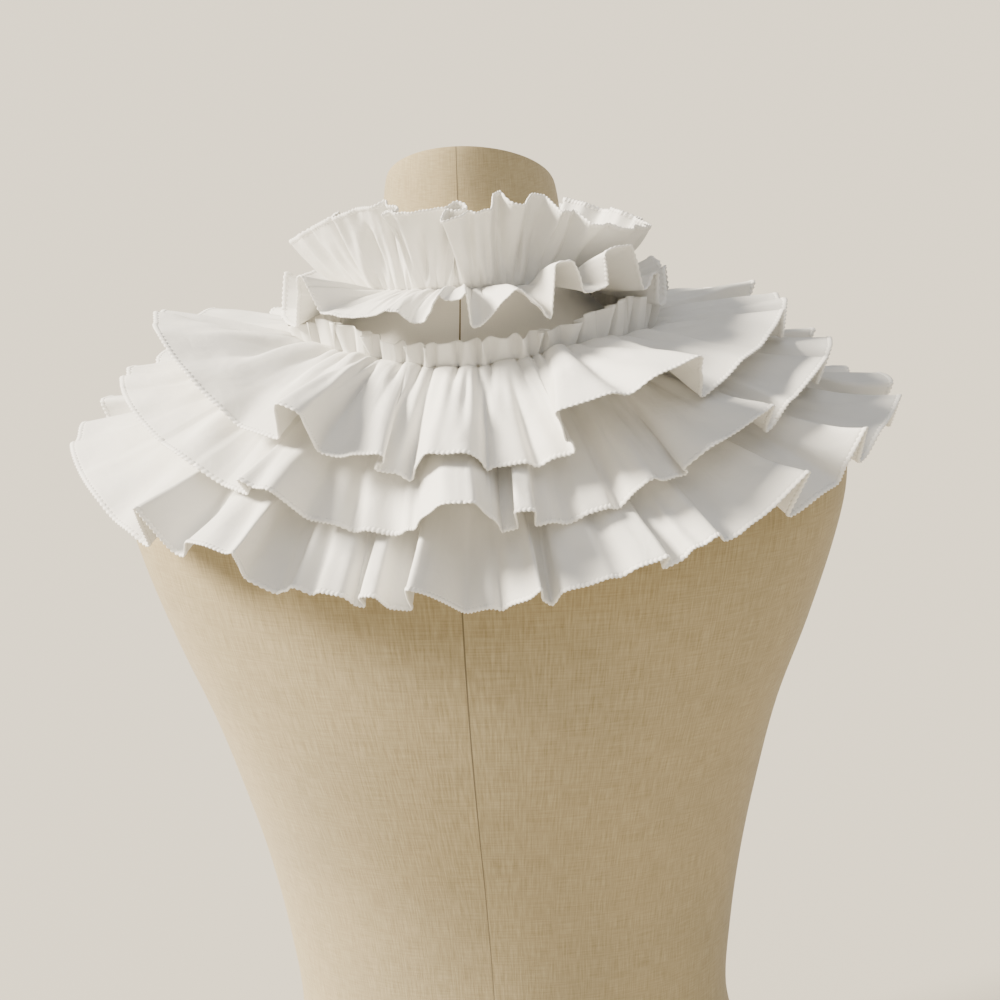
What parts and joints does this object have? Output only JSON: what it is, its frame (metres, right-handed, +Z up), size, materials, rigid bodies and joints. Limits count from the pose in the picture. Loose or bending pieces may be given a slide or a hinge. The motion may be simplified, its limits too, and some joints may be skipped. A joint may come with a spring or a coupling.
{
  "type": "ruffled collar on a dress form",
  "caption": "White cotton choker ruffle and tiered gathered capelet collar, worn by a limbless linen dress form that stands on its flat underside.",
  "frame": {"origin": "middle of the dress form's flat underside", "axes": "+Z up; the back of the form faces -Y and its front faces +Y; +X is to the right when the back is looked at"},
  "size_m": [0.4574, 0.3406, 0.6276],
  "materials": {
    "cotton": "matt, plain-woven cotton poplin",
    "linen": "matt, slubbed natural linen"
  },
  "bodies": {
    "root": {"dress_form": "linen", "choker_ruffle": "cotton", "neck_frill": "cotton", "capelet_top_tier": "cotton", "capelet_middle_tier": "cotton", "capelet_bottom_tier": "cotton"}
  },
  "joints": []
}
